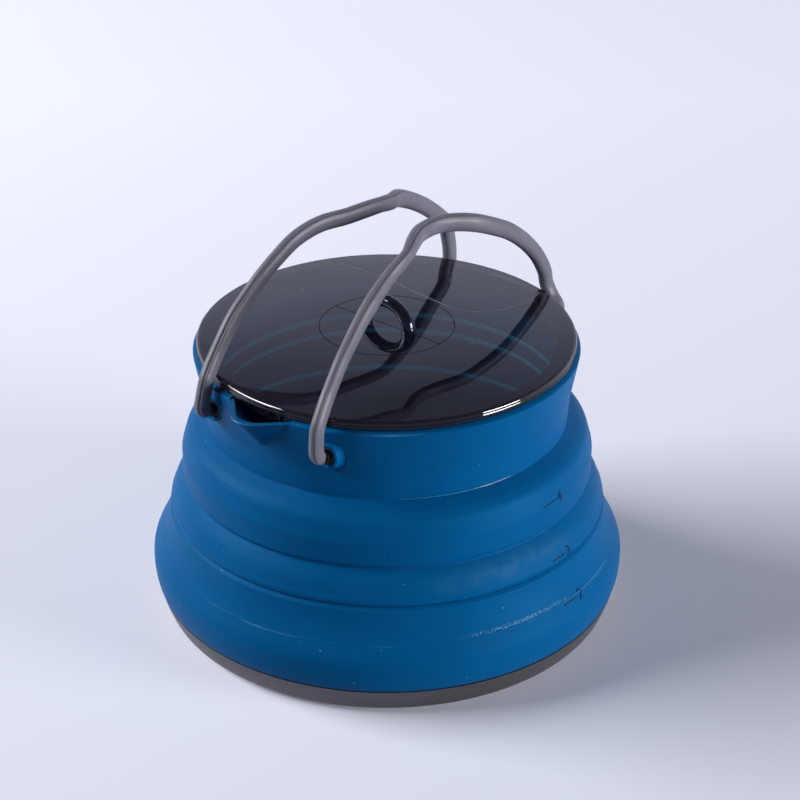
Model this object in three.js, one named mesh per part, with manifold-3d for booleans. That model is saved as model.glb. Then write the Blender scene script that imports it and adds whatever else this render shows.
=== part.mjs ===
// A collapsible camping kettle in millimetres, +Z up, seen here opened out and ready to use.
// The origin is the centre of the pan's flat underside, and the spout points along -Y.
import * as THREE from 'three';
import { mergeVertices } from 'three/addons/utils/BufferGeometryUtils.js';
import Module from 'manifold-3d';

const wasm = await Module();
wasm.setup();

// Facets
const roundSides = 52;
const smallSides = 16;
const gripSides = 12;
const wireSides = 6;

// Fits
const seatGap = 0.3;
const cutOverrun = 1;

// Aluminium pan
const footFillet = 2.2;
const panFloor = 2;
const panRimRadius = 81.6;
const footInset = 4.6;
const panHeight = 10.4;
const tongueSetback = 1.4;
const tongueThickness = 1.8;
const tongueHeight = 4.6;
const panWallThickness = 2.4;
// The pan's side bulges outwards: radius share between foot and rim, height share.
const panSideShares = [[0.35, 0.2], [0.61, 0.46], [0.83, 0.73]];

// Silicone bowl
const siliconeThickness = 2.2;
const bowlHeight = 29.4;
const bowlBulge = 1.4;
const bowlShoulderInset = 6.6;
const grooveInset = 1.2;
const grooveDepth = 1.1;
const beadThickness = 1.6;
const beadCover = 3;
// Height shares of the lower and upper ends of the bowl's widest zone.
const bowlBellyShares = [0.23, 0.34];
const bowlLowerBulgeShares = [0.7, 0.48];
// Control points of the bowl's upper bend: radius share, then height share.
const bowlBendShares = [[0.06, 0.3], [0.78, 0.41]];
const bowlBendSteps = 6;

// Folding silicone wall, from the groove to the topmost crease
const wallHeight = 32.6;
const lipProud = 0.7;
const lowerCreaseInset = 5.2;
const bandProud = 1.3;
const bandTaper = 1.7;
const upperCreaseInset = 7.1;
// The lip, the lower shoulder, the band and the upper shoulder, in shares of the wall's height.
const lipShares = [0.028, 0.067, 0.11];
const lowerShoulderShares = [[0.13, 0.17], [0.36, 0.24], [0.7, 0.31]];
const lowerCreaseShare = 0.359;
const bandShares = [0.399, 0.644, 0.825];
const upperShoulderShares = [[0.13, 0.87], [0.42, 0.925], [0.75, 0.968]];

// Collar and rim
const collarHeight = 25.5;
const collarStepShare = 0.35;
const collarStepFlare = 0.5;
const rimFlare = 3.6;
const rimBevel = 0.9;
const landWidth = 3.4;
const bevelWidth = 2.2;
const landDepth = 4.5;

// Spout
const spoutOverhang = 10.9;
const spoutHalfWidth = 12.75;
const spoutDepth = 13.7;
const spoutDrop = 0.2;
const spoutTipRadius = 7.6;
const spoutWall = 1.9;
const spoutEmbed = 1.2;
const spoutRootShare = 0.03;
const spoutTipSteps = 6;

// Handle eyes in the collar
const pivotOffset = 25;
const pivotDrop = 8.9;
const eyeRadius = 4.5;
const eyeStand = 1.6;
const eyeletRadius = 2.5;
const eyeletLength = 3.6;

// Wire handles and their sleeves
const wireRadius = 1.3;
const wireTail = 1;
const wireFit = 0.3;
const gripThickness = 4.3;
const gripWidth = 5.8;
const gripRimClearance = 1;
const hookStraight = 0.3;
const hookSteps = 4;
const hoopRise = 40.1;
const hoopBow = 10;
// Each row is a point of the hoop from front to back: share of the hook's reach along Y,
// share of the height from pivot to lid edge, share of the rise above the lid edge, and
// share of the bow towards the middle.
const leftHoopShares = [
  [-1.008, 0.552, 0, 0.14], [-0.991, 0.99, 0, 0.21], [-0.953, 1, 0.062, 0.14], [-0.897, 1, 0.145, 0.08],
  [-0.833, 1, 0.278, 0.08], [-0.755, 1, 0.407, 0.08], [-0.649, 1, 0.545, 0.1], [-0.563, 1, 0.662, 0.14],
  [-0.448, 1, 0.79, 0.22], [-0.33, 1, 0.898, 0.34], [-0.176, 1, 0.965, 0.54], [0, 1, 0.962, 0.78],
  [0.138, 1, 0.958, 0.93], [0.234, 1, 0.946, 0.97], [0.333, 1, 0.914, 0.88], [0.416, 1, 0.884, 0.7],
  [0.544, 1, 0.792, 0.54], [0.657, 1, 0.695, 0.44], [0.753, 1, 0.6, 0.33], [0.872, 1, 0.457, 0.22],
  [0.967, 1, 0.312, 0.1], [1.006, 1, 0.173, 0.04], [1.016, 1, 0.04, 0.02], [1.018, 0.62, 0, 0],
];
const rightHoopShares = [
  [-1.007, 0.588, 0, -0.04], [-1.005, 0.902, 0, -0.08], [-0.965, 1, 0.073, -0.05], [-0.903, 1, 0.181, 0.09],
  [-0.829, 1, 0.27, 0.24], [-0.744, 1, 0.372, 0.39], [-0.652, 1, 0.46, 0.53], [-0.547, 1, 0.565, 0.67],
  [-0.448, 1, 0.66, 0.78], [-0.275, 1, 0.785, 0.95], [-0.126, 1, 0.887, 1.1], [-0.019, 1, 0.935, 1.33],
  [0.086, 1, 0.957, 1.5], [0.225, 1, 0.943, 1.49], [0.338, 1, 0.922, 1.25], [0.435, 1, 0.881, 0.99],
  [0.553, 1, 0.788, 0.83], [0.672, 1, 0.688, 0.73], [0.744, 1, 0.603, 0.67], [0.832, 1, 0.483, 0.65],
  [0.922, 1, 0.323, 0.65], [0.98, 1, 0.145, 0.63], [1.002, 1, 0.01, 0.6], [1.02, 0.66, 0, 0.44],
  [1.018, 0.42, 0, 0.18],
];

// Lid
const lidOverhang = 1.2;
const lidEdgeHeight = 3.2;
const lidEdgeInset = 1.2;
const lidEdgeRoundShare = 0.25;
const lidCrown = 3.3;
const lidThickness = 2.2;
const lidFlatRadius = 12;
const lidDomeShares = [0.25, 0.5, 0.75, 1];
const skirtFit = 0.5;
const skirtThickness = 1.8;
const skirtDepth = 5;
const slotCount = 7;
const slotWidth = 1.8;
const slotHeight = 3;
const slotPitchDegrees = 3.6;
const loopRadius = 8.3;
const loopTubeRadius = 2.5;
const loopSteps = 14;

// Heights that follow from the sizes above
const wallFoot = panHeight + bowlHeight;
const collarFoot = wallFoot + wallHeight;
const rimEdge = collarFoot + collarHeight;
const rimTop = rimEdge + rimBevel;
const collarStep = collarFoot + collarStepShare * collarHeight;
const pivotHeight = rimEdge - pivotDrop;
const lidEdgeTop = rimTop + lidEdgeHeight;
const lidTop = lidEdgeTop + lidCrown;

// Radii that follow from the sizes above, from the pan up to the rim
const footRadius = panRimRadius - footInset;
const bowlWidestRadius = panRimRadius + bowlBulge;
const bowlShoulderRadius = bowlWidestRadius - bowlShoulderInset;
const grooveRadius = bowlShoulderRadius - grooveInset;
const lipRadius = grooveRadius + lipProud;
const lowerCreaseRadius = grooveRadius - lowerCreaseInset;
const bandRadius = lowerCreaseRadius + bandProud;
const bandTopRadius = bandRadius - bandTaper;
const upperCreaseRadius = bandTopRadius - upperCreaseInset;
const collarStepRadius = upperCreaseRadius + collarStepFlare;
const rimRadius = upperCreaseRadius + rimFlare;
const spoutReach = rimRadius + spoutOverhang;
const landOuterRadius = rimRadius - bevelWidth;
const landInnerRadius = landOuterRadius - landWidth;
const lidRadius = rimRadius - lidOverhang;
const skirtRadius = landInnerRadius - skirtFit;
const skirtInnerRadius = skirtRadius - skirtThickness;

const lerp = THREE.MathUtils.lerp;

// Outer radius of the flared collar at a height above its step
function collarRadiusAt(height) {
  return lerp(collarStepRadius, rimRadius, (height - collarStep) / (rimEdge - collarStep));
}

// How far out along Y a circle of this radius lies, on the line of the pivots
function chordAtPivot(radius) {
  return Math.sqrt(radius ** 2 - pivotOffset ** 2);
}

const eyeFace = chordAtPivot(collarRadiusAt(pivotHeight)) + eyeStand;
const hookReach = Math.max(
  chordAtPivot(rimRadius) + gripRimClearance + gripWidth / 2,
  eyeFace + seatGap + hookStraight + gripWidth / 2 + seatGap,
);

const plain = (color, roughness, metalness = 0) =>
  new THREE.MeshStandardMaterial({ color, roughness, metalness });
const materials = {
  anodised: plain(0x70707a, 0.45, 0.8),
  silicone: plain(0x0f66a8, 0.55),
  smoky: new THREE.MeshStandardMaterial({ color: 0x3c3e4d, roughness: 0.12, transparent: true, opacity: 0.7 }),
  steel: plain(0xb8babd, 0.3, 1),
  sleeve: plain(0x73737f, 0.5),
  bush: plain(0x1c1d22, 0.5),
};

// A closed mesh becomes a solid with its faces pointing outwards.
function toSolid(geometry) {
  const bare = geometry.clone();
  bare.deleteAttribute('normal');
  bare.deleteAttribute('uv');
  const welded = mergeVertices(bare);
  const positions = welded.getAttribute('position').array;
  const corners = welded.getIndex().array;
  const faces = [];
  for (let start = 0; start < corners.length; start += 3) {
    const [a, b, c] = corners.slice(start, start + 3);
    if (a !== b && b !== c && c !== a) faces.push([a, b, c]);
  }
  const corner = (index) => new THREE.Vector3().fromArray(positions, 3 * index);
  const volume = faces.reduce((sum, [a, b, c]) => sum + corner(a).dot(corner(b).cross(corner(c))), 0);
  const outward = volume > 0 ? faces : faces.map(([a, b, c]) => [a, c, b]);
  return new wasm.Manifold(new wasm.Mesh({
    numProp: 3,
    vertProperties: new Float32Array(positions),
    triVerts: new Uint32Array(outward.flat()),
  }));
}

function toGeometry(solid) {
  const { vertProperties, triVerts } = solid.getMesh();
  const geometry = new THREE.BufferGeometry();
  geometry.setAttribute('position', new THREE.BufferAttribute(vertProperties, 3));
  geometry.setIndex(new THREE.BufferAttribute(triVerts, 1));
  geometry.computeVertexNormals();
  return geometry;
}

function piece(name, solid, material) {
  const mesh = new THREE.Mesh(toGeometry(solid), material);
  mesh.name = name;
  return mesh;
}

// A solid of revolution about Z from a closed outline of [radius, height] points
function revolve(outline, sides = roundSides) {
  const points = [...outline, outline[0]].map(([radius, height]) => new THREE.Vector2(radius, height));
  const geometry = new THREE.LatheGeometry(points, sides);
  geometry.rotateX(Math.PI / 2);
  return toSolid(geometry);
}

// A bar or bush along Y, between two places on the line of the pivots
function barAlongY(radius, from, to, x, height) {
  const geometry = new THREE.CylinderGeometry(radius, radius, Math.abs(to - from), smallSides);
  geometry.translate(x, (from + to) / 2, height);
  return toSolid(geometry);
}

// The skin between closed convex rings of points, with a flat face at each end
function loft(rings) {
  const count = rings[0].length;
  const faces = [];
  for (let level = 0; level < rings.length - 1; level += 1) {
    for (let i = 0; i < count; i += 1) {
      const low = level * count + i;
      const next = level * count + ((i + 1) % count);
      faces.push(low, next, next + count, low, next + count, low + count);
    }
  }
  const top = (rings.length - 1) * count;
  for (let i = 1; i < count - 1; i += 1) faces.push(0, i + 1, i, top, top + i, top + i + 1);
  const geometry = new THREE.BufferGeometry().setFromPoints(rings.flat());
  geometry.setIndex(faces);
  return toSolid(geometry);
}

function ellipsePoints(halfX, halfY, sides) {
  return Array.from({ length: sides }, (_, i) => {
    const turn = (2 * Math.PI * i) / sides;
    return new THREE.Vector2(halfX * Math.cos(turn), halfY * Math.sin(turn));
  });
}

// A path whose steps fall on its own points
class KnotPath extends THREE.CatmullRomCurve3 {
  getPointAt(share) { return this.getPoint(share); }
  getTangentAt(share) { return this.getTangent(share); }
}

function sweep(shape, knots) {
  const extrudePath = new KnotPath(knots, false, 'centripetal');
  return toSolid(new THREE.ExtrudeGeometry(shape, { steps: knots.length - 1, extrudePath }));
}

// The pan: a shallow dish whose rim steps in to a tongue that the bowl is moulded over
function makePan() {
  const tongueOuter = panRimRadius - tongueSetback;
  const tongueInner = tongueOuter - tongueThickness;
  const side = panSideShares.map(([out, up]) => [
    lerp(footRadius, panRimRadius, out), lerp(0, panHeight, up),
  ]);
  const inside = side.map(([radius, height]) => [
    radius - panWallThickness, panFloor + height * (1 - panFloor / panHeight),
  ]);
  return revolve([
    [0, 0], [footRadius - footFillet, 0], ...side, [panRimRadius, panHeight],
    [tongueOuter, panHeight], [tongueOuter, panHeight + tongueHeight],
    [tongueInner, panHeight + tongueHeight], [tongueInner, panHeight],
    ...inside.reverse(), [footRadius - panWallThickness - footFillet, panFloor], [0, panFloor],
  ]);
}

// The bowl's outside, from its lower edge to the groove, as [radius, height] points
function bowlOutside() {
  const [bellyLow, bellyHigh] = bowlBellyShares.map((share) => panHeight + share * bowlHeight);
  const [bulgeOut, bulgeUp] = bowlLowerBulgeShares;
  const shoulder = wallFoot - grooveDepth;
  const control = bowlBendShares.map(([inward, up]) => new THREE.Vector2(
    lerp(bowlWidestRadius, bowlShoulderRadius, inward), lerp(bellyHigh, shoulder, up),
  ));
  const bend = new THREE.CubicBezierCurve(
    new THREE.Vector2(bowlWidestRadius, bellyHigh), ...control, new THREE.Vector2(bowlShoulderRadius, shoulder),
  );
  return [
    [panRimRadius, panHeight + seatGap],
    [lerp(panRimRadius, bowlWidestRadius, bulgeOut), lerp(panHeight, bellyLow, bulgeUp)],
    [bowlWidestRadius, bellyLow],
    ...bend.getPoints(bowlBendSteps).map((point) => point.toArray()),
    [grooveRadius, wallFoot],
  ];
}

// The bowl, with the bead that wraps the pan's tongue inside and out
function makeBowl() {
  const outside = bowlOutside();
  const grooveOuter = panRimRadius - tongueSetback + seatGap;
  const grooveInner = panRimRadius - tongueSetback - tongueThickness - seatGap;
  const grooveTop = panHeight + tongueHeight + seatGap;
  const beadInner = grooveInner - beadThickness;
  const beadTop = grooveTop + siliconeThickness;
  const inside = outside
    .filter(([, height]) => height > beadTop)
    .map(([radius, height]) => [radius - siliconeThickness, height]);
  return revolve([
    ...outside, ...inside.reverse(),
    [beadInner, grooveTop], [beadInner, grooveTop - beadCover], [grooveInner, grooveTop - beadCover],
    [grooveInner, grooveTop], [grooveOuter, grooveTop], [grooveOuter, panHeight + seatGap],
  ]);
}

// The wall that folds in: a lip, two shoulders with creases at their tops, and a band between
function makeFoldingWall() {
  const up = (share) => wallFoot + share * wallHeight;
  const [lipLow, lipMiddle, lipHigh] = lipShares;
  const lowerShoulder = lowerShoulderShares.map(([inward, share]) => [
    lerp(grooveRadius, lowerCreaseRadius, inward), up(share),
  ]);
  const upperShoulder = upperShoulderShares.map(([inward, share]) => [
    lerp(bandTopRadius, upperCreaseRadius, inward), up(share),
  ]);
  const [bandLow, bandMiddle, bandHigh] = bandShares;
  const outside = [
    [grooveRadius, wallFoot], [lipRadius, up(lipLow)], [lipRadius, up(lipMiddle)], [grooveRadius, up(lipHigh)],
    ...lowerShoulder, [lowerCreaseRadius, up(lowerCreaseShare)],
    [bandRadius, up(bandLow)], [bandRadius, up(bandMiddle)], [bandTopRadius, up(bandHigh)],
    ...upperShoulder, [upperCreaseRadius, collarFoot],
  ];
  const inside = outside.map(([radius, height]) => [radius - siliconeThickness, height]);
  return revolve([...outside, ...inside.reverse()]);
}

function collarBody() {
  const underLand = rimTop - landDepth;
  const wallAt = (height) => collarRadiusAt(height) - siliconeThickness;
  const wallTop = Math.max(underLand - landWidth / 2, collarStep);
  return revolve([
    [upperCreaseRadius, collarFoot], [collarStepRadius, collarStep], [rimRadius, rimEdge],
    [landOuterRadius, rimTop], [landInnerRadius, rimTop], [landInnerRadius, underLand],
    [wallAt(wallTop), wallTop], [collarStepRadius - siliconeThickness, collarStep],
    [upperCreaseRadius - siliconeThickness, collarFoot],
  ]);
}

// A level outline of the spout: two flanks that meet in a rounded tip
function spoutOutline(share, height, shift, back) {
  const root = collarRadiusAt(rimEdge - spoutDepth);
  const half = spoutHalfWidth * share;
  const rimChord = Math.sqrt(rimRadius ** 2 - spoutHalfWidth ** 2);
  const flank = lerp(root, rimChord, share) - shift;
  const tip = lerp(root, spoutReach, share) - shift;
  const halfAngle = Math.atan2(spoutHalfWidth, spoutReach - rimChord);
  const round = spoutTipRadius * share;
  const centre = tip - round / Math.sin(halfAngle);
  const sweepAngle = Math.PI / 2 - halfAngle;
  const arc = Array.from({ length: spoutTipSteps + 1 }, (_, i) => {
    const turn = lerp(-sweepAngle, sweepAngle, i / spoutTipSteps);
    return new THREE.Vector3(round * Math.sin(turn), -(centre + round * Math.cos(turn)), height);
  });
  return [
    new THREE.Vector3(-half, -back, height), new THREE.Vector3(-half, -flank, height), ...arc,
    new THREE.Vector3(half, -flank, height), new THREE.Vector3(half, -back, height),
  ];
}

// The spout's lip, and the trough inside it whose flanks run parallel to the outside
function spoutLip() {
  const low = rimEdge - spoutDepth + spoutRootShare * spoutDepth;
  const high = rimEdge - spoutDrop;
  const rootBack = collarRadiusAt(low) - spoutEmbed;
  const rimBack = Math.sqrt(rimRadius ** 2 - spoutHalfWidth ** 2) - spoutEmbed;
  return loft([
    spoutOutline(spoutRootShare, low, 0, rootBack),
    spoutOutline(1, high, 0, rimBack),
  ]);
}

function spoutTrough() {
  const rimChord = Math.sqrt(rimRadius ** 2 - spoutHalfWidth ** 2);
  const alongRim = new THREE.Vector3(spoutHalfWidth, spoutReach - rimChord, 0);
  const root = collarRadiusAt(rimEdge - spoutDepth);
  const alongKeel = new THREE.Vector3(0, spoutReach - root, -spoutDepth);
  const normal = alongRim.cross(alongKeel).normalize();
  const shift = spoutWall / Math.abs(normal.y);
  const low = rimEdge - spoutDepth + spoutRootShare * spoutDepth;
  const back = skirtInnerRadius;
  return loft([
    spoutOutline(spoutRootShare, low, shift, back),
    spoutOutline(1, rimEdge, shift, back),
    spoutOutline(1, rimTop + cutOverrun, shift, back),
  ]);
}

// The collar with its spout and its four handle eyes
function makeCollar() {
  let collar = collarBody().add(spoutLip()).subtract(spoutTrough());
  for (const x of [-pivotOffset, pivotOffset]) {
    for (const side of [-1, 1]) {
      const inner = side * (eyeFace - eyeletLength);
      const holeRadius = (eyeletRadius + seatGap) / Math.cos(Math.PI / smallSides);
      const overrun = side * cutOverrun;
      const holeEnd = inner - side * wireTail - overrun;
      const eye = barAlongY(eyeRadius, inner, side * eyeFace, x, pivotHeight);
      const hole = barAlongY(holeRadius, holeEnd, side * eyeFace + overrun, x, pivotHeight);
      collar = collar.add(eye).subtract(hole);
    }
  }
  return collar;
}

function makeEyelet(x, side) {
  const inner = side * (eyeFace - eyeletLength);
  const boreRadius = (wireRadius + wireFit) / Math.cos(Math.PI / smallSides);
  const overrun = side * cutOverrun;
  return barAlongY(eyeletRadius, inner, side * eyeFace, x, pivotHeight)
    .subtract(barAlongY(boreRadius, inner - overrun, side * eyeFace + overrun, x, pivotHeight));
}

// The line of a handle from the face of one eye over the hoop to the other
function handleKnots(direction, hoopShares) {
  const start = eyeFace + seatGap;
  const bendRadius = hookReach - start - hookStraight;
  const x = direction * pivotOffset;
  const hook = (side) => {
    const bend = Array.from({ length: hookSteps + 1 }, (_, i) => {
      const turn = (Math.PI / 2) * (i / hookSteps);
      const reach = start + hookStraight + bendRadius * Math.sin(turn);
      return new THREE.Vector3(x, side * reach, pivotHeight + bendRadius * (1 - Math.cos(turn)));
    });
    return [new THREE.Vector3(x, side * start, pivotHeight), ...bend];
  };
  const legHeight = lidEdgeTop - pivotHeight;
  const hoop = hoopShares.map(([along, leg, rise, bow]) => new THREE.Vector3(
    direction * (pivotOffset - bow * hoopBow),
    along * hookReach,
    pivotHeight + leg * legHeight + rise * hoopRise,
  ));
  return [...hook(-1), ...hoop, ...hook(1).reverse()];
}

// The steel wire runs through the eyes and ends just inside them.
function makeWire(knots) {
  const tail = eyeletLength + wireTail + seatGap;
  const ends = [knots[0], knots[knots.length - 1]].map((point) => {
    const end = point.clone();
    end.y -= Math.sign(point.y) * tail;
    return end;
  });
  const shape = new THREE.Shape(ellipsePoints(wireRadius, wireRadius, wireSides));
  return sweep(shape, [ends[0], ...knots, ends[1]]);
}

function makeGrip(knots) {
  const shape = new THREE.Shape(ellipsePoints(gripThickness / 2, gripWidth / 2, gripSides));
  const boreRadius = (wireRadius + wireFit) / Math.cos(Math.PI / wireSides);
  shape.holes.push(new THREE.Path(ellipsePoints(boreRadius, boreRadius, wireSides)));
  return sweep(shape, knots);
}

// The lid's top is flat under the finger loop, then falls away in a shallow dome to its edge.
function domeHeight(radius) {
  const share = (radius - lidFlatRadius) / (lidRadius - lidEdgeInset - lidFlatRadius);
  return lidTop - lidCrown * share ** 2;
}

function makeLidPlate() {
  const edge = lidRadius - lidEdgeInset;
  const ridgeInner = skirtInnerRadius;
  const top = lidDomeShares.map((share) => lerp(lidFlatRadius, edge, share));
  const under = lidDomeShares.map((share) => lerp(lidFlatRadius, ridgeInner, share));
  const middle = (rimTop + lidEdgeTop) / 2;
  const upDown = lidEdgeRoundShare * lidEdgeHeight;
  const inset = lidEdgeRoundShare * lidEdgeInset;
  return revolve([
    [0, lidTop], [lidFlatRadius, lidTop], ...top.map((radius) => [radius, domeHeight(radius)]),
    [lidRadius - inset, middle + upDown], [lidRadius, middle], [lidRadius - inset, middle - upDown],
    [edge, rimTop], [ridgeInner, rimTop],
    ...under.reverse().map((radius) => [radius, domeHeight(radius) - lidThickness]),
    [lidFlatRadius, lidTop - lidThickness], [0, lidTop - lidThickness],
  ]);
}

// The skirt below the lid, with a row of strainer slots that faces the spout
function makeLidSkirt() {
  const foot = rimTop - skirtDepth;
  let skirt = revolve([
    [skirtInnerRadius, foot], [skirtRadius, foot], [skirtRadius, rimTop], [skirtInnerRadius, rimTop],
  ]);
  for (let i = 0; i < slotCount; i += 1) {
    const turn = THREE.MathUtils.degToRad((i - (slotCount - 1) / 2) * slotPitchDegrees);
    const slot = new THREE.BoxGeometry(slotWidth, skirtThickness + 2 * cutOverrun, slotHeight);
    slot.translate(0, -(skirtRadius - skirtThickness / 2), foot + skirtDepth / 2);
    slot.rotateZ(turn);
    skirt = skirt.subtract(toSolid(slot));
  }
  return skirt;
}

function makeLidLoop() {
  const knots = Array.from({ length: loopSteps + 1 }, (_, i) => {
    const turn = Math.PI * (i / loopSteps);
    return new THREE.Vector3(loopRadius * Math.cos(turn), 0, lidTop + loopRadius * Math.sin(turn));
  });
  const arc = new KnotPath(knots);
  arc.getTangentAt = (share) => {
    const turn = Math.PI * share;
    return new THREE.Vector3(-Math.sin(turn), 0, Math.cos(turn));
  };
  const shape = new THREE.Shape(ellipsePoints(loopTubeRadius, loopTubeRadius, gripSides));
  return toSolid(new THREE.ExtrudeGeometry(shape, { steps: loopSteps, extrudePath: arc }));
}

const base = new THREE.Group();
base.add(piece('pan', makePan(), materials.anodised));
base.add(piece('bowl', makeBowl(), materials.silicone));
base.add(piece('folding_wall', makeFoldingWall(), materials.silicone));

const collar = new THREE.Group();
collar.add(piece('collar', makeCollar(), materials.silicone));
for (const [end, side] of [['front', -1], ['back', 1]]) {
  collar.add(piece(`eyelet_${end}_left`, makeEyelet(-pivotOffset, side), materials.bush));
  collar.add(piece(`eyelet_${end}_right`, makeEyelet(pivotOffset, side), materials.bush));
}

const handles = new THREE.Group();
for (const [name, direction, hoopShares] of [['left', -1, leftHoopShares], ['right', 1, rightHoopShares]]) {
  const knots = handleKnots(direction, hoopShares);
  handles.add(piece(`wire_${name}`, makeWire(knots), materials.steel));
  handles.add(piece(`grip_${name}`, makeGrip(knots), materials.sleeve));
}

const lid = new THREE.Group();
lid.add(piece('lid_plate', makeLidPlate(), materials.smoky));
lid.add(piece('lid_skirt', makeLidSkirt(), materials.smoky));
lid.add(piece('lid_loop', makeLidLoop(), materials.smoky));

const kettle = new THREE.Group();
kettle.add(base, collar, handles, lid);

export default kettle;
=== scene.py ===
"""A collapsible camping kettle on a pale studio floor, in metres, +Z up, with its spout towards -Y."""
import math
import bpy
import bmesh
import numpy as np
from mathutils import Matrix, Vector


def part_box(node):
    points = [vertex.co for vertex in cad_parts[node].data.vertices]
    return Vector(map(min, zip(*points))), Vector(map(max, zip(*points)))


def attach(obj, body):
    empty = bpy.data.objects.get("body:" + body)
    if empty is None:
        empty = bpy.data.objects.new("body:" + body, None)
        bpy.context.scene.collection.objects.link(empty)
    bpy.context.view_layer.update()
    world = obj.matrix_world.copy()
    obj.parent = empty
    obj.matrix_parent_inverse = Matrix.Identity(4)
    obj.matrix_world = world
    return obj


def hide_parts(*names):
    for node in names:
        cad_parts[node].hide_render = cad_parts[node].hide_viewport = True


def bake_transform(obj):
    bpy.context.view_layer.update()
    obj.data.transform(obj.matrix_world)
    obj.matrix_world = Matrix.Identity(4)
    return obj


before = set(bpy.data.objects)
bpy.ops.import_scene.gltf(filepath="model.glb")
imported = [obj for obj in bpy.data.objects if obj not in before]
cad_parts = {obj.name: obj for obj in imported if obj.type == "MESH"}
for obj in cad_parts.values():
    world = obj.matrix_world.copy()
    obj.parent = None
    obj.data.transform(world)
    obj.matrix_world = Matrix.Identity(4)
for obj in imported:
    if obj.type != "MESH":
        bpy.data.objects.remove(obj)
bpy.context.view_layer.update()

MM = 0.001
SIDES = 192

# Sizes that the frame gives
PAN_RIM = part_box("pan")[1][0]
BOWL_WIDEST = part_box("bowl")[1][0]
WALL_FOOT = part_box("bowl")[1][2]
WALL_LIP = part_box("folding_wall")[1][0]
COLLAR_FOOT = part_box("folding_wall")[1][2]
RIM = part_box("collar")[1][0]
RIM_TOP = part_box("collar")[1][2]
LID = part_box("lid_plate")[1][0]
LID_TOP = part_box("lid_plate")[1][2]
EYE_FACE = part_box("eyelet_back_right")[1][1]
EYE_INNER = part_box("eyelet_back_right")[0][1]
PIVOT_X = sum(corner[0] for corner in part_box("eyelet_back_right")) / 2
PIVOT_Z = sum(corner[2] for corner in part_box("eyelet_back_right")) / 2

# Driving sizes
PAN_HEIGHT = 10.4 * MM
PAN_WALL = 2.4 * MM
PAN_FLOOR = 2 * MM
FOOT = 77 * MM
FOOT_BEND = 2.2 * MM
TONGUE_BACK = 1.4 * MM
TONGUE_THICK = 1.8 * MM
TONGUE_HIGH = 4.6 * MM
SKIN = 2.2 * MM
SEAT_GAP = 0.3 * MM
BOWL_SHOULDER = 76.4 * MM
GROOVE = 75.2 * MM
LOW_CREASE = 70 * MM
BAND = 71.3 * MM
BAND_TOP = 69.6 * MM
HIGH_CREASE = 62.5 * MM
RIM_BEVEL = 0.9 * MM
LAND_WIDTH = 3.4 * MM
BEVEL_WIDTH = 2.2 * MM
LAND_DEPTH = 4.5 * MM
SPOUT_HALF = 12.75 * MM
SPOUT_DEPTH = 13.7 * MM
SPOUT_OVERHANG = 10.9 * MM
SPOUT_ROUND = 7.6 * MM
SPOUT_WALL = 1.9 * MM
EYE = 4.7 * MM
BUSH = 3.3 * MM
WIRE = 1.3 * MM
SLEEVE_SHORT = 1.3 * MM
SLEEVE_TAPER = 4.5 * MM
SLEEVE_TIP = 0.82
HOOK_STEPS = 5
GRIP_WIDE = 4.3 * MM
GRIP_DEEP = 5.8 * MM
SLEEVE_DEEP = 5.6 * MM
CHANNEL_TURN = math.pi / 2 - 0.42
HOOP_RISE = 40 * MM
HOOP_BOW = 10 * MM
LID_INSET = 1.2 * MM
LID_CROWN = 3.3 * MM
LID_FLAT = 12 * MM
LID_SKIN = 2.2 * MM
SKIRT_GAP = 0.5 * MM
SKIRT_WALL = 1.8 * MM
LID_RING = 23 * MM
LID_LINE = 0.32 * MM
PANEL_LINE = 0.8 * MM
DOME_DROP = 0.6 * MM
LOOP_WIDE = 9.8 * MM
LOOP_HIGH = 8.8 * MM
LOOP_TUBE = 2.2 * MM
STEP_RADIUS = 63 * MM
SPOUT_ENDS = 0.35
MOULD_LINE = 27.5 * MM
SCUFF_HEIGHT = 47 * MM
# The side where the rub and the pale scratches lie; those scratches are partly a painted highlight.
SCUFF_AND_GLINT_TURN = math.radians(-17)
MARK_TURN = math.radians(-3.6)
MARK_LOW, MARK_MID, MARK_HIGH = 26.7 * MM, 42.3 * MM, 61.4 * MM
MARK_SIZE = 5 * MM
MARK_GAP = MM
MARK_PROUD = 0.5 * MM
TICK_LONG = 6.5 * MM
TICK_WIDE = 0.5 * MM

# Worked out from those
TONGUE = PAN_RIM - TONGUE_BACK
TONGUE_INNER = TONGUE - TONGUE_THICK
TONGUE_TOP = PAN_HEIGHT + TONGUE_HIGH
RIM_EDGE = RIM_TOP - RIM_BEVEL
LAND_INNER = RIM - BEVEL_WIDTH - LAND_WIDTH
COLLAR_STEP = COLLAR_FOOT + 0.35 * (RIM_EDGE - COLLAR_FOOT)
LID_EDGE_TOP = LID_TOP - LID_CROWN

# Camera and light
CAMERA_PLACE = (0.4289, -0.5166, 0.4343)
CAMERA_PITCH = 28.115
CAMERA_TURN = 39.316
CAMERA_LENS = 99
CAMERA_SENSOR = 36
# The studio is palest on one side. This is that side's turn from +X.
PALE_TURN = math.radians(129.316)
SKY_COLOUR = (0.84, 0.87, 1, 1)
FLOOR_COLOUR = (0.82, 0.845, 0.98)
FLOOR_HALF = 4
FLOOR_DROP = 0.02 * MM
FLOOR_GLOW_NEAR = (0.055, 0.057, 0.07)
FLOOR_GLOW_FAR = (0.25, 0.257, 0.31)
FLOOR_SPAN = (-0.2, 0.5)
FLOOR_BOUNCE = 0.35
WORLD_LIGHT = 0.08
WORLD_SEEN = 0.75
WORLD_FADE = (-0.3, 0.6, 0.15, 1)
WORLD_RISE = (0.36, 0.6, 1.2, 0.45)
SEEN_RAYS = ("Is Camera Ray", "Is Glossy Ray", "Is Transmission Ray")
LAMP_DISTANCE = 3
LAMP_AIM = Vector((0, 0, 50 * MM))
# Name, turn from +X and height in degrees, size in metres, watts
LAMPS = (("left_lamp", 215, 33, (2.2, 0.9), 106), ("right_lamp", 17, 7, (1.3, 0.7), 94))


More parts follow.
